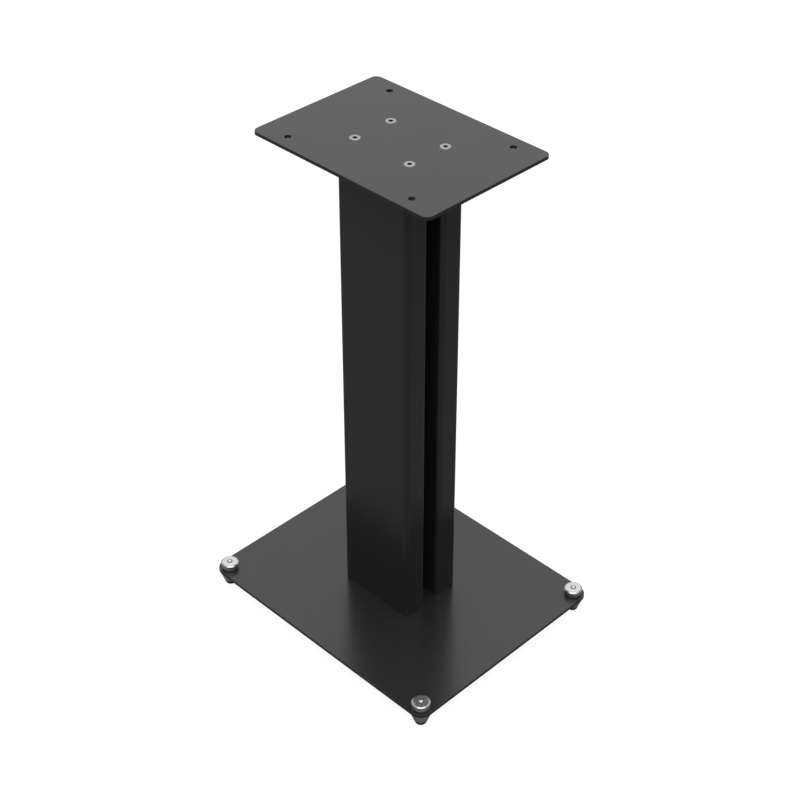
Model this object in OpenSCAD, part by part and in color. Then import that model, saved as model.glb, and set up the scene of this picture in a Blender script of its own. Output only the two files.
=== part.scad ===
// Speaker stand: two upright steel tubes between a top plate and a base plate,
// on four adjustable feet that are locked by caps on top of the base plate.
// Millimetres. +Z is up, the floor is z = 0, the origin is under the middle of the base.
// The front looks along -Y, and +X is to its right.

/* [Top plate] */
// Width of the top plate, side to side
top_w = 181; // [150:1:260]
// Depth of the top plate, front to back
top_d = 254; // [190:1:360]
// Thickness of the top plate
top_t = 4; // [3.5:0.5:8]
// Corner radius of the top plate
top_r = 8; // [2:0.5:16]
// Diameter of the holes for fixing a speaker
bolt_hole_d = 7.5; // [4.5:0.5:10]
// Distance from the side edges to the speaker holes
bolt_inset_x = 17; // [12:0.5:30]
// Distance from the front and back edges to the speaker holes
bolt_inset_y = 37.5; // [12:0.5:45]

/* [Posts] */
// Height of the upright tubes, plate to plate
post_h = 596; // [300:1:900]
// Width of one tube, side to side
post_w = 31.5; // [26:0.5:50]
// Depth of one tube, front to back
post_d = 105; // [60:1:150]
// Outer corner radius of the tubes
post_r = 6.5; // [4:0.5:10]
// Wall of the tubes
post_wall = 2; // [1.5:0.5:3]
// Open slot between the two tubes
post_gap = 20.5; // [10:0.5:40]
// Thickness of the tapped plates welded into the tube ends
end_plate_t = 8; // [5:0.5:12]

/* [Base plate] */
// Width of the base plate, side to side
base_w = 289; // [240:1:400]
// Depth of the base plate, front to back
base_d = 355; // [280:1:480]
// Thickness of the base plate
base_t = 4; // [3.5:0.5:8]
// Corner radius of the base plate
base_r = 15; // [4:0.5:20]
// Distance from each edge to the centre of a foot
foot_inset = 14; // [14:0.5:40]

/* [Screws] */
// Thread diameter of the countersunk screws
screw_d = 6; // [5:0.5:8]
// Head diameter of the countersunk screws
screw_head_d = 12; // [11:0.5:12.5]
// Length of the countersunk screws, head included
screw_l = 16; // [10:1:30]
// Distance from the tube's front and back faces to its screws
screw_inset = 13; // [11:0.5:25]
// Width of the hexagon socket across its flats
socket_af = 4; // [3:0.5:4.5]
// Depth of the hexagon socket
socket_depth = 2.2; // [1:0.1:4]

/* [Feet] */
// Height of the tapered foot, without its pad
cone_h = 14.4; // [13:0.1:30]
// Diameter of the tapered foot at the base plate
cone_top_d = 26.6; // [22:0.1:27]
// Diameter of the tapered foot at its pad
cone_tip_d = 16.3; // [13:0.1:20]
// Height of the pad, which carries on the foot's taper to the floor
pad_h = 5.3; // [2:0.1:8]
// Radius of the pad's rounded lower edge
pad_round = 1.5; // [0.5:0.1:2]
// Diameter of the spigot that holds the pad
spigot_d = 6; // [4:0.5:8]
// Height of the spigot that holds the pad
spigot_h = 3; // [2:0.5:5]
// Thread diameter of the stud
stud_d = 8; // [6:0.5:10]
// Length of the stud held in the tapered foot
stud_grip = 9; // [5:0.5:11]
// Radius of the sphere that rounds the stud's end
dome_r = 5.2; // [5.2:0.2:12]

/* [Lock caps] */
// Diameter of the lock caps
cap_d = 21.6; // [18:0.1:26]
// Height of the lock caps
cap_h = 8.4; // [5:0.1:12]
// Width of the sloping edge round the cap's top
cap_bevel_w = 2; // [0.5:0.1:2.8]
// Height of the sloping edge round the cap's top
cap_bevel_h = 1.5; // [0.5:0.1:3]
// Width of the countersink round the cap's hole
cap_mouth = 0.3; // [0.2:0.1:1]
// Depth of the stud's end below the cap's top
stud_recess = 0; // [0:0.1:1.5]

/* [Hidden] */
$fn = 64;

// Gap on the radius between a thread and its hole
thread_clear = 0.05;
// Gap on the radius between the pad's spigot and its hole
spigot_clear = 0.05;
// Gap between a screw's head and its countersink
head_clear = 0.05;
// How far a cut runs past the face that it opens
overrun = 1;

// Colours as seen
paint = "#232324";
zinc = "#b9bbbd";
chrome = "#dcdddf";
rubber = "#1b1b1c";
bare_steel = "#8b8c8e";

// Sides
left = -1;
right = 1;
front = -1;
back = 1;

// Heights of the faces above the floor
cone_z = pad_h;
base_under_z = cone_z + cone_h;
base_z = base_under_z + base_t;
top_under_z = base_z + post_h;
top_z = top_under_z + top_t;

// Places seen from above
post_x = (post_gap + post_w) / 2;
screw_y = post_d / 2 - screw_inset;
foot_x = base_w / 2 - foot_inset;
foot_y = base_d / 2 - foot_inset;
bolt_x = top_w / 2 - bolt_inset_x;
bolt_y = top_d / 2 - bolt_inset_y;

// The screw heads are cones of 90 degrees
screw_head_h = (screw_head_d - screw_d) / 2;
hexagon_d = socket_af / cos(30);
thread_r = screw_d / 2 + thread_clear;
stud_hole_r = stud_d / 2 + thread_clear;
stud_l = stud_grip + base_t + cap_h - stud_recess;

// The foot's side leans by this angle, and the pad's rounded edge meets it smoothly
lean = atan((cone_top_d - cone_tip_d) / 2 / cone_h);
pad_tip_r = cone_tip_d / 2 - pad_h * tan(lean);
round_x = pad_tip_r + pad_round * (tan(lean) - 1 / cos(lean));
round_end = [round_x + pad_round * cos(lean), pad_round - pad_round * sin(lean)];

// A rectangle with round corners, centred
module round_rectangle(w, d, r) {
  square([w - 2 * r, d], center = true);
  square([w, d - 2 * r], center = true);
  for (sx = [left, right], sy = [front, back])
    translate([sx * (w / 2 - r), sy * (d / 2 - r)])
      circle(r);
}

// Puts its child at one of the four screw places, at height z
module at_screw(side, end, z) {
  translate([side * post_x, end * screw_y, z])
    children();
}

// Puts its child at one of the four feet, at height z
module at_foot(side, end, z) {
  translate([side * foot_x, end * foot_y, z])
    children();
}

// What a countersunk screw needs removed: its face is at z = 0 and it points down
module screw_seat(depth) {
  translate([0, 0, -depth - overrun])
    cylinder(h = depth + overrun, r = thread_r);
  translate([0, 0, -screw_head_h])
    cylinder(h = screw_head_h, r1 = thread_r, r2 = screw_head_d / 2 + head_clear);
  cylinder(h = overrun, r = screw_head_d / 2 + head_clear);
}

// A countersunk screw with a hexagon socket: its face is at z = 0 and it points down
module countersunk_screw() {
  color(zinc)
    difference() {
      union() {
        translate([0, 0, -screw_head_h])
          cylinder(h = screw_head_h, r1 = screw_d / 2, r2 = screw_head_d / 2);
        translate([0, 0, -screw_l])
          cylinder(h = screw_l, r = screw_d / 2);
      }
      translate([0, 0, -socket_depth])
        cylinder(h = socket_depth + overrun, d = hexagon_d, $fn = 6);
    }
}

module top_plate() {
  color(paint)
    difference() {
      translate([0, 0, top_under_z])
        linear_extrude(top_t)
          round_rectangle(top_w, top_d, top_r);
      for (side = [left, right], end = [front, back]) {
        at_screw(side, end, top_z)
          screw_seat(top_t);
        translate([side * bolt_x, end * bolt_y, top_under_z - overrun])
          cylinder(h = top_t + 2 * overrun, d = bolt_hole_d);
      }
    }
}

module base_plate() {
  color(paint)
    difference() {
      translate([0, 0, base_under_z])
        linear_extrude(base_t)
          round_rectangle(base_w, base_d, base_r);
      for (side = [left, right], end = [front, back]) {
        at_screw(side, end, base_under_z)
          mirror([0, 0, 1])
            screw_seat(base_t);
        at_foot(side, end, base_under_z - overrun)
          cylinder(h = base_t + 2 * overrun, r = stud_hole_r);
      }
    }
}

module post(side) {
  color(paint)
    translate([side * post_x, 0, base_z])
      linear_extrude(post_h)
        difference() {
          round_rectangle(post_w, post_d, post_r);
          round_rectangle(post_w - 2 * post_wall, post_d - 2 * post_wall, post_r - post_wall);
        }
}

// The tapped plate in a tube's end, with its underside at height z. Its corners are
// rounder than the tube's inside, so that only the flat sides touch.
module end_plate(side, z) {
  color(bare_steel)
    difference() {
      translate([side * post_x, 0, z])
        linear_extrude(end_plate_t)
          round_rectangle(post_w - 2 * post_wall, post_d - 2 * post_wall, post_r);
      for (end = [front, back])
        at_screw(side, end, z - overrun)
          cylinder(h = end_plate_t + 2 * overrun, r = thread_r);
    }
}

module end_plate_top(side) {
  end_plate(side, top_under_z - end_plate_t);
}

module end_plate_bottom(side) {
  end_plate(side, base_z);
}

module top_screw(side, end) {
  at_screw(side, end, top_z)
    countersunk_screw();
}

module base_screw(side, end) {
  at_screw(side, end, base_under_z)
    mirror([0, 0, 1])
      countersunk_screw();
}

// Chrome cap that locks the stud, with a sloping edge and a countersunk hole
module lock_cap(side, end) {
  color(chrome)
    at_foot(side, end, base_z)
      rotate_extrude()
        polygon([
          [stud_hole_r, 0],
          [cap_d / 2, 0],
          [cap_d / 2, cap_h - cap_bevel_h],
          [cap_d / 2 - cap_bevel_w, cap_h],
          [stud_hole_r + cap_mouth, cap_h],
          [stud_hole_r, cap_h - cap_mouth]
        ]);
}

// Stud with a domed end, from inside the tapered foot, through the base plate, into the cap
module foot_stud(side, end) {
  color(zinc)
    at_foot(side, end, base_under_z - stud_grip)
      intersection() {
        cylinder(h = stud_l, d = stud_d);
        union() {
          cylinder(h = stud_l - dome_r, d = stud_d);
          translate([0, 0, stud_l - dome_r])
            sphere(dome_r);
        }
      }
}

// Tapered foot, with a hole for the stud above and one for the pad's spigot below
module foot_cone(side, end) {
  color(chrome)
    at_foot(side, end, cone_z)
      difference() {
        cylinder(h = cone_h, d1 = cone_tip_d, d2 = cone_top_d);
        translate([0, 0, cone_h - stud_grip])
          cylinder(h = stud_grip + overrun, d = stud_d);
        translate([0, 0, -overrun])
          cylinder(h = spigot_h + spigot_clear + overrun, r = spigot_d / 2 + spigot_clear);
      }
}

// Tapered rubber pad with a rounded lower edge and a spigot into the tapered foot
module foot_pad(side, end) {
  color(rubber)
    at_foot(side, end, 0)
      rotate_extrude() {
        polygon([
          [0, 0],
          [round_x, 0],
          [round_x, pad_round],
          round_end,
          [cone_tip_d / 2, pad_h],
          [0, pad_h]
        ]);
        intersection() {
          translate([round_x, pad_round])
            circle(pad_round);
          polygon([[round_x, pad_round], [round_x, 0], [pad_tip_r, 0], round_end]);
        }
        square([spigot_d / 2, pad_h + spigot_h]);
      }
}

top_plate();
post(left);  // post_left
post(right);  // post_right
base_plate();
end_plate_top(left);  // end_plate_top_left
end_plate_top(right);  // end_plate_top_right
end_plate_bottom(left);  // end_plate_bottom_left
end_plate_bottom(right);  // end_plate_bottom_right
top_screw(left, front);  // top_screw_left_front
top_screw(right, front);  // top_screw_right_front
top_screw(left, back);  // top_screw_left_back
top_screw(right, back);  // top_screw_right_back
base_screw(left, front);  // base_screw_left_front
base_screw(right, front);  // base_screw_right_front
base_screw(left, back);  // base_screw_left_back
base_screw(right, back);  // base_screw_right_back
lock_cap(left, front);  // lock_cap_left_front
lock_cap(right, front);  // lock_cap_right_front
lock_cap(left, back);  // lock_cap_left_back
lock_cap(right, back);  // lock_cap_right_back
foot_stud(left, front);  // foot_stud_left_front
foot_stud(right, front);  // foot_stud_right_front
foot_stud(left, back);  // foot_stud_left_back
foot_stud(right, back);  // foot_stud_right_back
foot_cone(left, front);  // foot_cone_left_front
foot_cone(right, front);  // foot_cone_right_front
foot_cone(left, back);  // foot_cone_left_back
foot_cone(right, back);  // foot_cone_right_back
foot_pad(left, front);  // foot_pad_left_front
foot_pad(right, front);  // foot_pad_right_front
foot_pad(left, back);  // foot_pad_left_back
foot_pad(right, back);  // foot_pad_right_back
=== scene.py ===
import math

import bmesh
import bpy
from mathutils import Matrix, Vector


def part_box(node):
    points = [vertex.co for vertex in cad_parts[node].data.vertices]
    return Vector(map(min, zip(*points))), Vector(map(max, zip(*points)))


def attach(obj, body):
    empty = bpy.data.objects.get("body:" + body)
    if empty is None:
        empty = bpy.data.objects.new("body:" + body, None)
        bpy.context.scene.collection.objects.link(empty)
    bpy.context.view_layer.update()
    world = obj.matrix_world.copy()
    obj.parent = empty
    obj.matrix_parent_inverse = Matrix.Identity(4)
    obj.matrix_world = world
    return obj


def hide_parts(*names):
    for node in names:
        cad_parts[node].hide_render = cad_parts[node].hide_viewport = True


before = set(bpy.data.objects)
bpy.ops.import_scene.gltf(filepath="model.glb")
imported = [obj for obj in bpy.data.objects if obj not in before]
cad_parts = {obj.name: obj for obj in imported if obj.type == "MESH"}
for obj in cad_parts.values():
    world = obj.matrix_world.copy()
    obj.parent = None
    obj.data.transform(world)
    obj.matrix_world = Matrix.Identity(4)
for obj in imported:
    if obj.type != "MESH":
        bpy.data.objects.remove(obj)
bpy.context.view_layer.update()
mm = 0.001
fullTurn = 2 * math.pi
weld = 0.001 * mm  # points closer than this become one
sliver = 0.004 * mm  # edges shorter than this are taken out after a cut
near = 0.01 * mm  # how closely a radius or a height has to fit
overrun = 1 * mm  # how far a cutter reaches past what it cuts

# the end of a piece's name at each corner, and the CAD's name for that corner
corners = {
    "LeftFront": "left_front",
    "RightFront": "right_front",
    "LeftBack": "left_back",
    "RightBack": "right_back",
}


# Camera: at the photograph's angle, lens and framing
cameraView = {
    "place": (-1.12372, -1.12372, 1.47988),
    "lookDown": 34.19,
    "turn": -45,
    "sensor": 36,
    "lens": 79.07,
    "shiftUp": -0.0967,
    "seesTo": 50,
}


def makeCamera(values):
    data = bpy.data.cameras.new("camera")
    data.sensor_width = values["sensor"]
    data.lens = values["lens"]
    data.shift_y = values["shiftUp"]
    data.clip_end = values["seesTo"]
    camera = bpy.data.objects.new("camera", data)
    bpy.context.scene.collection.objects.link(camera)
    camera.location = values["place"]
    tilt = math.radians(90 - values["lookDown"])
    camera.rotation_euler = (tilt, 0, math.radians(values["turn"]))
    bpy.context.scene.camera = camera


makeCamera(cameraView)
print("camera placed")


# Helpers for materials
def srgb(text):
    # a colour as #rrggbb, turned to the linear values that shaders take
    shares = [int(text[i:i + 2], 16) / 255 for i in (1, 3, 5)]
    return [s / 12.92 if s <= 0.04045 else ((s + 0.055) / 1.055) ** 2.4 for s in shares] + [1]


def addNode(tree, kind, settings=None, links=None):
    # settings are properties or input values by name, links are inputs fed by another node's output
    node = tree.nodes.new(kind)
    for name, value in (settings or {}).items():
        if isinstance(name, str) and hasattr(node, name):
            setattr(node, name, value)
        else:
            node.inputs[name].default_value = value
    for name, source in (links or {}).items():
        tree.links.new(source, node.inputs[name])
    return node


def newTree(name):
    material = bpy.data.materials.new(name)
    material.use_nodes = True
    material.node_tree.nodes.clear()
    return material, material.node_tree


def finishTree(tree, shader):
    addNode(tree, "ShaderNodeOutputMaterial", {}, {"Surface": shader.outputs[0]})


# a noise seldom leaves the first range, and two noises multiplied seldom leave the second, so a
# roughness that is spread over the range uses all of its own
noiseLow, noiseHigh = 0.3, 0.7
twoNoisesLow, twoNoisesHigh = 0.1, 0.45


# Polyester powder coat, satin: sprayed as dust and melted, so it is soft-edged and faintly
# pebbled, with a broad sheen instead of a mirror
powderCoat = {
    "darker": "#262627",
    "lighter": "#2c2c2d",
    "pebble": 1.3 * mm,
    "pebbleHeight": 0.012 * mm,
    "bump": 0.5,
    "dust": 0.35 * mm,
    "cloud": 70 * mm,
    "roughFrom": 0.22,
    "roughTo": 0.26,
    "ior": 1.57,
}


def makePowderCoat(values):
    material, tree = newTree("satinBlackPowderCoat")
    place = addNode(tree, "ShaderNodeTexCoord").outputs["Object"]
    cloud = addNode(
        tree, "ShaderNodeTexNoise", {"Scale": 1 / values["cloud"], "Detail": 3}, {"Vector": place}
    )
    pebble = addNode(
        tree, "ShaderNodeTexNoise", {"Scale": 1 / values["pebble"], "Detail": 1}, {"Vector": place}
    )
    dust = addNode(
        tree, "ShaderNodeTexNoise", {"Scale": 1 / values["dust"], "Detail": 0}, {"Vector": place}
    )
    colour = addNode(
        tree, "ShaderNodeMix",
        {"data_type": "RGBA", 6: srgb(values["darker"]), 7: srgb(values["lighter"])},
        {"Factor": dust.outputs["Fac"]},
    )
    rough = addNode(
        tree, "ShaderNodeMapRange",
        {
            "From Min": noiseLow, "From Max": noiseHigh,
            "To Min": values["roughFrom"], "To Max": values["roughTo"],
        },
        {"Value": cloud.outputs["Fac"]},
    )
    bump = addNode(
        tree, "ShaderNodeBump",
        {"Strength": values["bump"], "Distance": values["pebbleHeight"]},
        {"Height": pebble.outputs["Fac"]},
    )
    shader = addNode(
        tree, "ShaderNodeBsdfPrincipled",
        {"IOR": values["ior"]},
        {"Base Color": colour.outputs[2], "Roughness": rough.outputs[0], "Normal": bump.outputs[0]},
    )
    finishTree(tree, shader)
    return material


# Metal turned on a lathe: fine rings run round the piece, each at its own distance from the axis
# and its own height. The piece keeps its own lathe coordinates in an attribute.
def turnedRings(tree, ring):
    own = addNode(tree, "ShaderNodeAttribute", {"attribute_name": "lathe"})
    parts = addNode(tree, "ShaderNodeSeparateXYZ", {}, {"Vector": own.outputs["Vector"]})
    flat = addNode(
        tree, "ShaderNodeCombineXYZ", {}, {"X": parts.outputs["X"], "Y": parts.outputs["Y"]}
    )
    radius = addNode(
        tree, "ShaderNodeVectorMath", {"operation": "LENGTH"}, {"Vector": flat.outputs[0]}
    )
    along = addNode(
        tree, "ShaderNodeMath", {"operation": "ADD"},
        {0: radius.outputs["Value"], 1: parts.outputs["Z"]},
    )
    return addNode(
        tree, "ShaderNodeTexNoise",
        {"noise_dimensions": "1D", "Scale": 1 / ring, "Detail": 2},
        {"W": along.outputs[0]},
    ).outputs["Fac"]


# Faces that a piece marks are rougher and darker; the darker colour is painted shade, standing in for the
# shade in a cap's groove, a screw's socket and round a stud's dome
def makeTurnedMetal(name, values):
    material, tree = newTree(name)
    rings = turnedRings(tree, values["ring"])
    place = addNode(tree, "ShaderNodeTexCoord").outputs["Object"]
    handled = addNode(
        tree, "ShaderNodeTexNoise", {"Scale": 1 / values["smudge"], "Detail": 3}, {"Vector": place}
    )
    mixed = addNode(
        tree, "ShaderNodeMath", {"operation": "MULTIPLY"}, {0: rings, 1: handled.outputs["Fac"]}
    )
    rough = addNode(
        tree, "ShaderNodeMapRange",
        {
            "From Min": twoNoisesLow, "From Max": twoNoisesHigh,
            "To Min": values["roughFrom"], "To Max": values["roughTo"],
        },
        {"Value": mixed.outputs[0]},
    )
    colour = addNode(
        tree, "ShaderNodeMix",
        {"data_type": "RGBA", 6: srgb(values["darker"]), 7: srgb(values["lighter"])},
        {"Factor": handled.outputs["Fac"]},
    )
    # marked faces: painted shade in their colour, and a rougher finish
    dullWithPaintedShade = addNode(tree, "ShaderNodeAttribute", {"attribute_name": "dullWithPaintedShade"}).outputs["Fac"]
    colour = addNode(
        tree, "ShaderNodeMix",
        {"data_type": "RGBA", 7: srgb(values["paintedShadeColour"])},
        {"Factor": dullWithPaintedShade, 6: colour.outputs[2]},
    )
    rough = addNode(
        tree, "ShaderNodeMix",
        {"data_type": "FLOAT", 3: values["dullRough"]},
        {"Factor": dullWithPaintedShade, 2: rough.outputs[0]},
    )
    bump = addNode(
        tree, "ShaderNodeBump",
        {"Strength": values["bump"], "Distance": values["ringHeight"]},
        {"Height": rings},
    )
    shader = addNode(
        tree, "ShaderNodeBsdfPrincipled",
        {"Metallic": 1},
        {"Base Color": colour.outputs[2], "Roughness": rough.outputs[0], "Normal": bump.outputs[0]},
    )
    finishTree(tree, shader)
    return material


# Steel turned, polished and chrome plated: it mirrors in soft focus, a little darker than silver
chromePlate = {
    "darker": "#c6c8ca",
    "lighter": "#d0d2d4",
    "ring": 0.35 * mm,
    "ringHeight": 0.001 * mm,
    "bump": 0.4,
    "smudge": 6 * mm,
    "roughFrom": 0.22,
    "roughTo": 0.28,
    # painted shade for the cap's groove
    "paintedShadeColour": "#1e1f20",
    "dullRough": 0.5,
}

# Bright zinc plate on a cold-headed screw: pale grey and softly blurred, with painted shade darkening the
# socket
zincPlate = {
    "darker": "#9c9ea0",
    "lighter": "#b6b8ba",
    "ring": 0.25 * mm,
    "ringHeight": 0.003 * mm,
    "bump": 0.4,
    "smudge": 2.5 * mm,
    "roughFrom": 0.24,
    "roughTo": 0.38,
    # painted shade for the socket
    "paintedShadeColour": "#2e2f30",
    "dullRough": 0.6,
}

# Zinc plated stud with a polished end: paler and smoother than the screws; round its neck it is rougher,
# with painted shade darkening it into a ring round the dome
brightStud = {
    "darker": "#e2e4e6",
    "lighter": "#eef0f2",
    "ring": 0.3 * mm,
    "ringHeight": 0.001 * mm,
    "bump": 0.4,
    "smudge": 3 * mm,
    "roughFrom": 0.12,
    "roughTo": 0.18,
    # painted shade for the ring round the dome
    "paintedShadeColour": "#949698",
    "dullRough": 0.85,
}

# Hot rolled steel with its mill scale brushed off, unpainted where the tube hides it. The end
# plates weren't turned and keep no lathe coordinates, so they show its smudges and no rings
millSteel = {
    "darker": "#6e6f71",
    "lighter": "#8b8c8e",
    "ring": 0.6 * mm,
    "ringHeight": 0.004 * mm,
    "bump": 0.4,
    "smudge": 9 * mm,
    "roughFrom": 0.4,
    "roughTo": 0.6,
    "paintedShadeColour": "#5c5d5f",
    "dullRough": 0.7,
}


# Moulded rubber: dull black, with the fine pores of a spark-eroded mould
mouldedRubber = {
    "darker": "#0c0c0c",
    "lighter": "#171717",
    "pore": 0.3 * mm,
    "poreHeight": 0.02 * mm,
    "bump": 0.6,
    "smudge": 5 * mm,
    "roughFrom": 0.6,
    "roughTo": 0.8,
    "ior": 1.46,
}


def makeRubber(values):
    material, tree = newTree("mouldedRubber")
    place = addNode(tree, "ShaderNodeTexCoord").outputs["Object"]
    smudge = addNode(
        tree, "ShaderNodeTexNoise", {"Scale": 1 / values["smudge"], "Detail": 3}, {"Vector": place}
    )
    pore = addNode(
        tree, "ShaderNodeTexNoise", {"Scale": 1 / values["pore"], "Detail": 1}, {"Vector": place}
    )
    colour = addNode(
        tree, "ShaderNodeMix",
        {"data_type": "RGBA", 6: srgb(values["darker"]), 7: srgb(values["lighter"])},
        {"Factor": smudge.outputs["Fac"]},
    )
    rough = addNode(
        tree, "ShaderNodeMapRange",
        {"To Min": values["roughFrom"], "To Max": values["roughTo"]},
        {"Value": pore.outputs["Fac"]},
    )
    bump = addNode(
        tree, "ShaderNodeBump",
        {"Strength": values["bump"], "Distance": values["poreHeight"]},
        {"Height": pore.outputs["Fac"]},
    )
    shader = addNode(
        tree, "ShaderNodeBsdfPrincipled",
        {"IOR": values["ior"]},
        {"Base Color": colour.outputs[2], "Roughness": rough.outputs[0], "Normal": bump.outputs[0]},
    )
    finishTree(tree, shader)
    return material


paint = makePowderCoat(powderCoat)
chrome = makeTurnedMetal("chromePlate", chromePlate)
zinc = makeTurnedMetal("zincPlate", zincPlate)
studSteel = makeTurnedMetal("brightStudSteel", brightStud)
millFinish = makeTurnedMetal("millSteel", millSteel)
rubber = makeRubber(mouldedRubber)
print("materials made")


# Helpers for shapes
def spinProfile(points, steps, closed=False):
    # points are (distance from the axis, height); the outline is turned round the Z axis
    bm = bmesh.new()
    line = [bm.verts.new((x, 0, z)) for x, z in points]
    for a, b in zip(line, line[1:] + line[:1] if closed else line[1:]):
        bm.edges.new((a, b))
    bmesh.ops.spin(
        bm, geom=bm.verts[:] + bm.edges[:], cent=(0, 0, 0), axis=(0, 0, 1),
        angle=fullTurn, steps=steps, use_merge=True,
    )
    bmesh.ops.remove_doubles(bm, verts=bm.verts[:], dist=weld)
    bmesh.ops.recalc_face_normals(bm, faces=bm.faces[:])
    return bm


def ringAt(bm, radius, height):
    # the edges of the level ring at that radius and height
    def onRing(vert):
        away = math.hypot(vert.co.x, vert.co.y) - radius
        return abs(away) < near and abs(vert.co.z - height) < near
    return [e for e in bm.edges if onRing(e.verts[0]) and onRing(e.verts[1])]


def roundEdges(bm, edges, radius, segments):
    bmesh.ops.bevel(
        bm, geom=edges, offset=radius, offset_type="OFFSET", affect="EDGES",
        segments=segments, profile=0.5, material=-1, clamp_overlap=True,
    )


def uprightBlock(node, corner, steps):
    # a block that fills the node's box, with its four upright edges rounded
    low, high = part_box(node)
    size = high - low
    bm = bmesh.new()
    fit = Matrix.Translation((low + high) / 2) @ Matrix.Diagonal((size.x, size.y, size.z, 1))
    bmesh.ops.create_cube(bm, size=1, matrix=fit)
    upright = [e for e in bm.edges if abs(e.verts[0].co.z - e.verts[1].co.z) > size.z / 2]
    roundEdges(bm, upright, corner, steps)
    return bm


def toMesh(name, bm):
    mesh = bpy.data.meshes.new(name)
    bm.to_mesh(mesh)
    bm.free()
    return mesh


def toObject(name, mesh):
    piece = bpy.data.objects.new(name, mesh)
    bpy.context.scene.collection.objects.link(piece)
    return piece


def withBoolean(mesh, cutter, operation="DIFFERENCE"):
    # the mesh less the cutter, or their common part, as a new mesh with no sliver left by the cut
    whole = toObject("whole", mesh)
    tool = toObject("tool", cutter)
    step = whole.modifiers.new("cut", "BOOLEAN")
    step.operation = operation
    step.solver = "EXACT"
    step.object = tool
    bpy.context.view_layer.update()
    bm = bmesh.new()
    bm.from_object(whole, bpy.context.evaluated_depsgraph_get())
    bmesh.ops.dissolve_degenerate(bm, dist=sliver, edges=bm.edges[:])
    for thing in (whole, tool):
        bpy.data.objects.remove(thing)
    return toMesh(mesh.name, bm)


def markDullWithPaintedShade(mesh, inside):
    # marks the faces whose distance from the axis and height are inside the zone, which is made rougher and
    # darkened with painted shade
    mark = mesh.attributes.new("dullWithPaintedShade", "FLOAT", "FACE")
    for face in mesh.polygons:
        x, y, z = face.center
        mark.data[face.index].value = 1 if inside(math.hypot(x, y), z) else 0


def placedCopy(mesh, place, name):
    # a copy of a mesh made round the Z axis, moved to its place, that keeps its lathe coordinates
    copy = mesh.copy()
    copy.name = name
    own = copy.attributes.new("lathe", "FLOAT_VECTOR", "POINT")
    for index, vert in enumerate(copy.vertices):
        own.data[index].vector = vert.co
    copy.transform(Matrix.Translation(place))
    return copy


# Shading: edges bent by more than "sharpFrom" degrees stay sharp, and large faces look flat
shading = {
    "sharpFrom": 30,
    "largeFaces": 100,
}


def smooth(piece):
    piece.data.shade_smooth()
    piece.data.set_sharp_from_angle(angle=math.radians(shading["sharpFrom"]))
    evenNormals = piece.modifiers.new("evenNormals", "WEIGHTED_NORMAL")
    evenNormals.keep_sharp = True
    evenNormals.weight = shading["largeFaces"]


def addPiece(name, mesh, material, body, node):
    mesh.materials.clear()
    mesh.materials.append(material)
    piece = toObject(name, mesh)
    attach(piece, body)
    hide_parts(node)
    return piece


def middle(node):
    low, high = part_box(node)
    return (low + high) / 2


# Top plate and base plate: laser cut, with their edges broken before painting
plate = {
    "edgeRound": 0.35 * mm,
    "edgeSteps": 3,
    "edgeFrom": 35,  # degrees: the corners' own steps are flatter and stay as they are
    "cornerSteps": 16,
    "holeSteps": 48,
    "topCorner": 8 * mm,
    "baseCorner": 15 * mm,
    "boltHole": 3.75 * mm,
    "boltInsetX": 17 * mm,
    "boltInsetY": 37.5 * mm,
    "seatWide": 6.3 * mm,
    "seatNarrow": 3.05 * mm,
    "studHole": 4.05 * mm,
}


def plateMesh(name, node, corner, cutters):
    mesh = toMesh(name, uprightBlock(node, corner, plate["cornerSteps"]))
    for cutter in cutters:
        mesh = withBoolean(mesh, cutter)
    return mesh


def holeCutter(outline, place, down=False):
    # down turns the outline over, for a seat in a lower face
    bm = spinProfile(outline, plate["holeSteps"])
    if down:
        bmesh.ops.scale(bm, vec=(1, 1, -1), verts=bm.verts[:])
        bmesh.ops.recalc_face_normals(bm, faces=bm.faces[:])
    bmesh.ops.translate(bm, vec=place, verts=bm.verts[:])
    return toMesh("cutter", bm)


def plainHole(radius, thick):
    # measured up from the plate's lower face
    return [(0, -overrun), (radius, -overrun), (radius, thick + overrun), (0, thick + overrun)]


def screwSeat(thick):
    # measured down from the plate's outer face, with a slope of 45 degrees
    wide, narrow = plate["seatWide"], plate["seatNarrow"]
    foot = -thick - overrun
    return [
        (0, foot),
        (narrow, foot),
        (narrow, narrow - wide),
        (wide, 0),
        (wide, overrun),
        (0, overrun),
    ]


def makePlates():
    # the top plate has four plain holes near its corners and a seat for each of its screws
    low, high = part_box("top_plate")
    thick = high.z - low.z
    cutters = []
    for sideX in (-1, 1):
        for sideY in (-1, 1):
            place = (
                sideX * (high.x - plate["boltInsetX"]),
                sideY * (high.y - plate["boltInsetY"]),
                low.z,
            )
            cutters.append(holeCutter(plainHole(plate["boltHole"], thick), place))
    for end in corners.values():
        screwPlace = middle("top_screw_" + end)
        cutters.append(holeCutter(screwSeat(thick), (screwPlace.x, screwPlace.y, high.z)))
    mesh = plateMesh("topPlate", "top_plate", plate["topCorner"], cutters)
    finishPlate(addPiece("topPlate", mesh, paint, "stand", "top_plate"))

    # the base plate has a hole for each stud, and a seat for each of its screws in its lower face
    low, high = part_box("base_plate")
    thick = high.z - low.z
    cutters = []
    for end in corners.values():
        studPlace = middle("foot_stud_" + end)
        screwPlace = middle("base_screw_" + end)
        cutters.append(holeCutter(plainHole(plate["studHole"], thick), (studPlace.x, studPlace.y, low.z)))
        cutters.append(holeCutter(screwSeat(thick), (screwPlace.x, screwPlace.y, low.z), down=True))
    mesh = plateMesh("basePlate", "base_plate", plate["baseCorner"], cutters)
    finishPlate(addPiece("basePlate", mesh, paint, "stand", "base_plate"))


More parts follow.
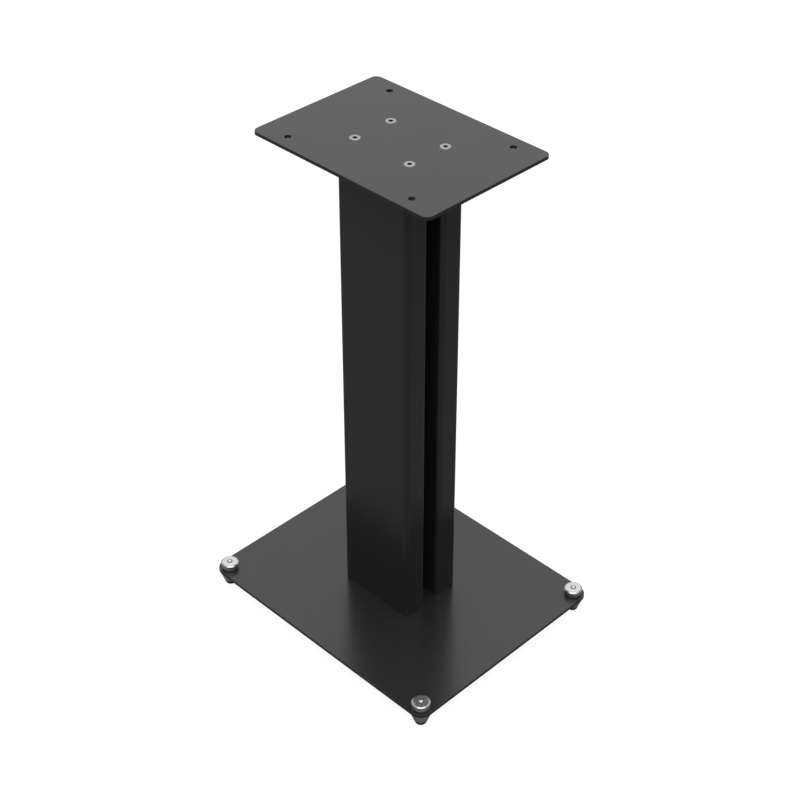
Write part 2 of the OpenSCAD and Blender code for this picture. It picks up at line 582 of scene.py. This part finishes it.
def finishPlate(piece):
    piece.data.shade_smooth()
    softEdge = piece.modifiers.new("softEdge", "BEVEL")
    softEdge.width = plate["edgeRound"]
    softEdge.segments = plate["edgeSteps"]
    softEdge.limit_method = "ANGLE"
    softEdge.angle_limit = math.radians(plate["edgeFrom"])
    softEdge.harden_normals = True


makePlates()
print("plates made")


# Posts: rectangular steel tube, standing plate to plate
tube = {
    "corner": 6.5 * mm,
    "cornerSteps": 16,
    "wall": 2 * mm,
}


def makePost(name, node):
    bm = uprightBlock(node, tube["corner"], tube["cornerSteps"])
    ends = [f for f in bm.faces if abs(f.normal.z) > 0.5]
    bmesh.ops.delete(bm, geom=ends, context="FACES_ONLY")
    bmesh.ops.recalc_face_normals(bm, faces=bm.faces[:])
    bmesh.ops.solidify(bm, geom=bm.faces[:], thickness=tube["wall"])
    smooth(addPiece(name, toMesh(name, bm), paint, "stand", node))


makePost("postLeft", "post_left")
makePost("postRight", "post_right")
print("posts made")


# Countersunk screws with a hexagon socket
screw = {
    "head": 6 * mm,
    "rim": 0.25 * mm,
    "shank": 3 * mm,
    "length": 16 * mm,
    "endTaper": 0.7 * mm,
    "socketFlats": 4 * mm,
    "socketDepth": 2.2 * mm,
    "socketLead": 0.25 * mm,
    "edgeRound": 0.12 * mm,
    "steps": 48,
}


def screwMesh(values):
    # the head's face is at z = 0, and the screw points down
    head, shank, length = values["head"], values["shank"], values["length"]
    taper = values["endTaper"]
    bm = spinProfile([
        (0, 0),
        (head - values["edgeRound"], 0),
        (head, -values["edgeRound"]),
        (head, -values["rim"]),
        (shank, -values["rim"] - (head - shank)),
        (shank, -length + taper),
        (shank - taper, -length),
        (0, -length),
    ], values["steps"])
    mesh = toMesh("screw", bm)
    # the hexagon's corners are further out than its flats
    reach = values["socketFlats"] / 2 / math.cos(math.radians(30))
    depth, lead = values["socketDepth"], values["socketLead"]
    socket = bmesh.new()
    bmesh.ops.create_cone(
        socket, cap_ends=True, segments=6, radius1=reach, radius2=reach, depth=depth + overrun,
        matrix=Matrix.Translation((0, 0, (overrun - depth) / 2)),
    )
    mesh = withBoolean(mesh, toMesh("socket", socket))
    funnel = bmesh.new()
    bmesh.ops.create_cone(
        funnel, cap_ends=True, segments=values["steps"],
        radius1=reach - lead, radius2=reach + lead + overrun, depth=2 * lead + overrun,
        matrix=Matrix.Translation((0, 0, (overrun - lead) / 2)),
    )
    mesh = withBoolean(mesh, toMesh("funnel", funnel))
    # the socket's faces take painted shade
    markDullWithPaintedShade(mesh, lambda away, height: away < reach + lead and -depth - near < height < -near)
    return mesh


def makeScrews():
    # the top screws' heads lie in the top plate's upper face, the base screws' in the lower face
    # of the base plate, upside down
    headUp = screwMesh(screw)
    headDown = headUp.copy()
    headDown.transform(Matrix.Rotation(math.pi, 4, "X"))
    for name, end in corners.items():
        for kind, node, mesh in (("topScrew", "top_screw_", headUp), ("baseScrew", "base_screw_", headDown)):
            low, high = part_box(node + end)
            centre = middle(node + end)
            face = high.z if mesh is headUp else low.z
            copy = placedCopy(mesh, (centre.x, centre.y, face), kind + name)
            smooth(addPiece(kind + name, copy, zinc, "stand", node + end))


makeScrews()
print("screws made")


# Lock caps: turned, with a sloping edge, a groove under it, a slightly barrelled side to grip, a
# foot that slopes in and a hole for the stud, which narrows at the face
cap = {
    "hole": 4.05 * mm,
    "lip": 3.4 * mm,
    "lipHigh": 0.3 * mm,
    "slopeWide": 1.65 * mm,
    "slopeHigh": 1.3 * mm,
    "slopeRound": 0.2 * mm,
    "faceRound": 0.25 * mm,
    "rimHigh": 0.25 * mm,
    "grooveHigh": 1.4 * mm,
    "grooveDeep": 1.3 * mm,
    "footSlope": 0.7 * mm,
    "barrel": 0.35 * mm,
    "barrelSteps": 12,
    "roundSteps": 4,
    "steps": 96,
}


def capMesh(values):
    low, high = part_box("lock_cap_left_front")
    radius, height = (high.x - low.x) / 2, high.z - low.z
    shoulder = height - values["slopeHigh"]
    face = radius - values["slopeWide"]
    hole, lip = values["hole"], values["lip"]
    lipFoot = height - values["lipHigh"]
    grooveTop = shoulder - values["rimHigh"]
    grooveFoot = grooveTop - values["grooveHigh"]
    groove = radius - values["grooveDeep"]
    # the side is an arc from the foot's slope up to the groove, furthest out half way up
    bulge, foot = values["barrel"], values["footSlope"]
    span = grooveFoot - foot
    curve = span ** 2 / 8 / bulge + bulge / 2
    widest = math.asin(span / 2 / curve)
    angles = [widest * (2 * i / values["barrelSteps"] - 1) for i in range(values["barrelSteps"] + 1)]
    side = [
        (radius - curve + curve * math.cos(a), foot + span / 2 + curve * math.sin(a)) for a in angles
    ]
    bm = spinProfile(
        [(hole, 0), (side[0][0] - foot, 0)] + side
        + [
            (groove, grooveFoot),
            (groove, grooveTop),
            (radius, grooveTop),
            (radius, shoulder),
            (face, height),
            (lip, height),
            (lip, lipFoot),
            (hole, lipFoot - (hole - lip)),
        ],
        values["steps"], closed=True,
    )
    roundEdges(bm, ringAt(bm, radius, shoulder), values["slopeRound"], values["roundSteps"])
    roundEdges(bm, ringAt(bm, face, height), values["faceRound"], values["roundSteps"])
    mesh = toMesh("cap", bm)
    # the groove's faces take painted shade
    markDullWithPaintedShade(
        mesh,
        lambda away, z: groove - near < away < radius - near and grooveFoot - near < z < grooveTop + near,
    )
    return mesh


# Studs: rolled thread with a plain neck at the cap's face, a turned cone and a small polished dome.
# The thread's root is a share of its outer radius, and its flats are shares of the pitch.
stud = {
    "pitch": 1.25 * mm,
    "rootShare": 0.847,
    "crestShare": 0.125,
    "rootFlatShare": 0.25,
    "cutterPlay": 0.1 * mm,
    "neckPlay": 0.1 * mm,
    "coneRise": 0.5 * mm,
    "dome": 2 * mm,
    "domeRadius": 3.4 * mm,
    "domeSteps": 8,
    "steps": 48,
}


def studMesh(values):
    low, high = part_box("foot_stud_left_front")
    radius, length = (high.x - low.x) / 2, high.z - low.z
    pitch = values["pitch"]
    root = radius * values["rootShare"]
    flank = pitch * (1 - values["crestShare"] - values["rootFlatShare"]) / 2
    turns = math.ceil(length / pitch) + 2
    bm = bmesh.new()
    last = None
    for turn in range(turns):
        start = (turn - 1) * pitch
        for x, z in (
            (radius, start),
            (radius, start + pitch * values["crestShare"]),
            (root, start + pitch * values["crestShare"] + flank),
            (root, start + pitch - flank),
        ):
            vert = bm.verts.new((x, 0, z))
            if last:
                bm.edges.new((last, vert))
            last = vert
    steps = values["steps"]
    bmesh.ops.spin(
        bm, geom=bm.verts[:] + bm.edges[:], cent=(0, 0, 0), axis=(0, 0, 1),
        dvec=(0, 0, pitch / steps), angle=fullTurn, steps=steps, use_merge=False,
    )
    bmesh.ops.remove_doubles(bm, verts=bm.verts[:], dist=weld)
    bmesh.ops.holes_fill(bm, edges=bm.edges[:])
    bmesh.ops.recalc_face_normals(bm, faces=bm.faces[:])
    thread = toMesh("thread", bm)
    # a rod with a neck, a cone and a dome at its top, which cuts the thread to length
    dome, curve = values["dome"], values["domeRadius"]
    widest = math.asin(dome / curve)
    angles = [widest * (1 - i / values["domeSteps"]) for i in range(values["domeSteps"] + 1)]
    domeFoot = length + values["coneRise"]
    top = [(curve * math.sin(a), domeFoot + curve * (math.cos(a) - math.cos(widest))) for a in angles]
    outside = radius + values["cutterPlay"]
    neck = cap["lip"] - values["neckPlay"]
    neckFoot = length - cap["lipHigh"] - values["neckPlay"]
    rod = spinProfile(
        [
            (0, 0), (root, 0), (outside, outside - root),
            (outside, neckFoot - (outside - neck)), (neck, neckFoot), (neck, length),
        ] + top,
        steps,
    )
    mesh = withBoolean(thread, toMesh("rod", rod), "INTERSECT")
    # the neck and cone below the dome are made rougher and take painted shade
    markDullWithPaintedShade(mesh, lambda away, height: away > dome and height > neckFoot)
    return mesh


# Tapered feet
cone = {
    "stud": 4 * mm,
    "studGrip": 9 * mm,
    "spigot": 3.05 * mm,
    "spigotDepth": 3.05 * mm,
    "tip": 8.15 * mm,
    "rimRound": 0.5 * mm,
    "rimSteps": 4,
    "tipRound": 0.3 * mm,
    "tipSteps": 3,
    "steps": 96,
}


def coneMesh(values):
    low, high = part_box("foot_cone_left_front")
    radius, height = (high.x - low.x) / 2, high.z - low.z
    bm = spinProfile([
        (0, values["spigotDepth"]),
        (values["spigot"], values["spigotDepth"]),
        (values["spigot"], 0),
        (values["tip"], 0),
        (radius, height),
        (values["stud"], height),
        (values["stud"], height - values["studGrip"]),
        (0, height - values["studGrip"]),
    ], values["steps"])
    roundEdges(bm, ringAt(bm, radius, height), values["rimRound"], values["rimSteps"])
    roundEdges(bm, ringAt(bm, values["tip"], 0), values["tipRound"], values["tipSteps"])
    return toMesh("cone", bm)


# Rubber pads, each held by its spigot
pad = {
    "height": 5.3 * mm,
    "tip": 6.25 * mm,
    "spigot": 3 * mm,
    "edgeRound": 1.5 * mm,
    "edgeSteps": 6,
    "steps": 72,
}


def padMesh(values):
    low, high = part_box("foot_pad_left_front")
    radius, whole = (high.x - low.x) / 2, high.z - low.z
    bm = spinProfile([
        (0, 0),
        (values["tip"], 0),
        (radius, values["height"]),
        (values["spigot"], values["height"]),
        (values["spigot"], whole),
        (0, whole),
    ], values["steps"])
    roundEdges(bm, ringAt(bm, values["tip"], 0), values["edgeRound"], values["edgeSteps"])
    return toMesh("pad", bm)


def makeFeet():
    kinds = (
        ("lockCap", "lock_cap_", capMesh(cap), chrome, "cap_", "chrome_plate"),
        ("footStud", "foot_stud_", studMesh(stud), studSteel, "foot_", "stud_steel"),
        ("footCone", "foot_cone_", coneMesh(cone), chrome, "foot_", "chrome_plate"),
        ("footPad", "foot_pad_", padMesh(pad), rubber, "pad_", "rubber"),
    )
    for name, end in corners.items():
        for kind, node, mesh, material, body, slot in kinds:
            low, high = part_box(node + end)
            centre = middle(node + end)
            copy = placedCopy(mesh, (centre.x, centre.y, low.z), kind + name)
            smooth(addPiece(kind + name, copy, material, body + end, node + end))


makeFeet()
print("feet made")


# The CAD's end plates stay, out of sight in the tubes
for level in ("top", "bottom"):
    for side in ("left", "right"):
        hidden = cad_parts["end_plate_" + level + "_" + side]
        hidden.data.materials.clear()
        hidden.data.materials.append(millFinish)
print("end plates finished")


# Studio: pale floor, light that is strongest overhead and from a backdrop behind the stand, and
# one large soft lamp above the camera
studio = {
    "floorSize": 24,
    "floorBelow": 0.1 * mm,
    "floorColour": "#747474",
    "floorShown": 0.93,  # with the light that falls on it, this looks white
    "floorInGloss": 0.01,
    "floorInGlossLeft": 0.07,
    "floorFade": 0.6,
    "skyColour": "#ffffff",
    "skyAround": 0.32,
    "skyOverhead": 0.72,
    "skyOverheadPower": 4,
    "backdrop": 1.08,
    "backdropLow": 0.2,
    "backdropSide": (0.7071, 0.7071, 0),
    "leftSide": (-0.7071, 0.7071, 0),
    "skyShown": 1,
    "lampPower": 27,
    "lampWide": 3.6,
    "lampHigh": 2.4,
    "lampPlace": (-0.8, -1.02, 2.95),
    "lampTowards": (-0.05, -0.05, 0.05),
}


def makeFloor(values):
    # the camera sees it white with the object's shadow on it, gloss mirrors it dark as the
    # photographed metal does, a little paler on the left, and from below it is clear, so that the
    # underside can be looked at
    bm = bmesh.new()
    sunk = Matrix.Translation((0, 0, -values["floorBelow"]))
    bmesh.ops.create_grid(bm, x_segments=1, y_segments=1, size=values["floorSize"] / 2, matrix=sunk)
    floor = toObject("floor", toMesh("floor", bm))
    material, tree = newTree("floor")
    path = addNode(tree, "ShaderNodeLightPath")
    seen = addNode(
        tree, "ShaderNodeMath", {"operation": "MAXIMUM"},
        {0: path.outputs["Is Camera Ray"], 1: path.outputs["Is Transmission Ray"]},
    )
    shown = addNode(
        tree, "ShaderNodeMath", {"operation": "MULTIPLY", 1: values["floorShown"]}, {0: seen.outputs[0]}
    )
    place = addNode(tree, "ShaderNodeTexCoord").outputs["Object"]
    leftward = addNode(
        tree, "ShaderNodeVectorMath", {"operation": "DOT_PRODUCT", 1: values["leftSide"]}, {0: place}
    )
    mirrored = addNode(
        tree, "ShaderNodeMapRange",
        {
            "From Min": -values["floorFade"], "From Max": values["floorFade"],
            "To Min": values["floorInGloss"], "To Max": values["floorInGlossLeft"],
        },
        {"Value": leftward.outputs["Value"]},
    )
    strength = addNode(
        tree, "ShaderNodeMath", {"operation": "MULTIPLY_ADD"},
        {0: path.outputs["Is Glossy Ray"], 1: mirrored.outputs[0], 2: shown.outputs[0]},
    )
    matt = addNode(tree, "ShaderNodeBsdfDiffuse", {"Color": srgb(values["floorColour"])})
    glow = addNode(tree, "ShaderNodeEmission", {}, {"Strength": strength.outputs[0]})
    both = addNode(tree, "ShaderNodeAddShader", {}, {0: matt.outputs[0], 1: glow.outputs[0]})
    clear = addNode(tree, "ShaderNodeBsdfTransparent")
    below = addNode(tree, "ShaderNodeNewGeometry").outputs["Backfacing"]
    whole = addNode(
        tree, "ShaderNodeMixShader", {}, {0: below, 1: both.outputs[0], 2: clear.outputs[0]}
    )
    finishTree(tree, whole)
    floor.data.materials.append(material)


def makeSky(values):
    # plain white to the camera, while its light grows overhead and up the backdrop's side
    world = bpy.data.worlds.new("studio")
    world.use_nodes = True
    tree = world.node_tree
    tree.nodes.clear()
    direction = addNode(tree, "ShaderNodeTexCoord").outputs["Generated"]
    parts = addNode(tree, "ShaderNodeSeparateXYZ", {}, {"Vector": direction})
    height = addNode(
        tree, "ShaderNodeMath", {"operation": "MAXIMUM", 1: 0}, {0: parts.outputs["Z"]}
    ).outputs[0]
    steep = addNode(
        tree, "ShaderNodeMath", {"operation": "POWER", 1: values["skyOverheadPower"]}, {0: height}
    )
    above = addNode(
        tree, "ShaderNodeMath",
        {"operation": "MULTIPLY_ADD", 1: values["skyOverhead"], 2: values["skyAround"]},
        {0: steep.outputs[0]},
    )
    facing = addNode(
        tree, "ShaderNodeVectorMath", {"operation": "DOT_PRODUCT", 1: values["backdropSide"]}, {0: direction}
    )
    behind = addNode(
        tree, "ShaderNodeMath", {"operation": "MAXIMUM", 1: 0}, {0: facing.outputs["Value"]}
    )
    rising = addNode(
        tree, "ShaderNodeMath",
        {"operation": "MULTIPLY_ADD", 1: values["backdrop"], 2: values["backdrop"] * values["backdropLow"]},
        {0: height},
    )
    light = addNode(
        tree, "ShaderNodeMath",
        {"operation": "MULTIPLY_ADD"},
        {0: behind.outputs[0], 1: rising.outputs[0], 2: above.outputs[0]},
    )
    path = addNode(tree, "ShaderNodeLightPath")
    strength = addNode(
        tree, "ShaderNodeMix",
        {"data_type": "FLOAT", 3: values["skyShown"]},
        {"Factor": path.outputs["Is Camera Ray"], 2: light.outputs[0]},
    )
    sky = addNode(
        tree, "ShaderNodeBackground",
        {"Color": srgb(values["skyColour"])},
        {"Strength": strength.outputs[0]},
    )
    addNode(tree, "ShaderNodeOutputWorld", {}, {"Surface": sky.outputs[0]})
    bpy.context.scene.world = world


def makeLamp(values):
    data = bpy.data.lights.new("softLamp", "AREA")
    data.shape = "RECTANGLE"
    data.size = values["lampWide"]
    data.size_y = values["lampHigh"]
    data.energy = values["lampPower"]
    lamp = bpy.data.objects.new("softLamp", data)
    bpy.context.scene.collection.objects.link(lamp)
    lamp.location = values["lampPlace"]
    towards = Vector(values["lampTowards"]) - lamp.location
    lamp.rotation_euler = towards.to_track_quat("-Z", "Y").to_euler()
    lamp.visible_camera = False


makeFloor(studio)
makeSky(studio)
makeLamp(studio)
bpy.context.scene.view_settings.view_transform = "Standard"
print("studio lit")
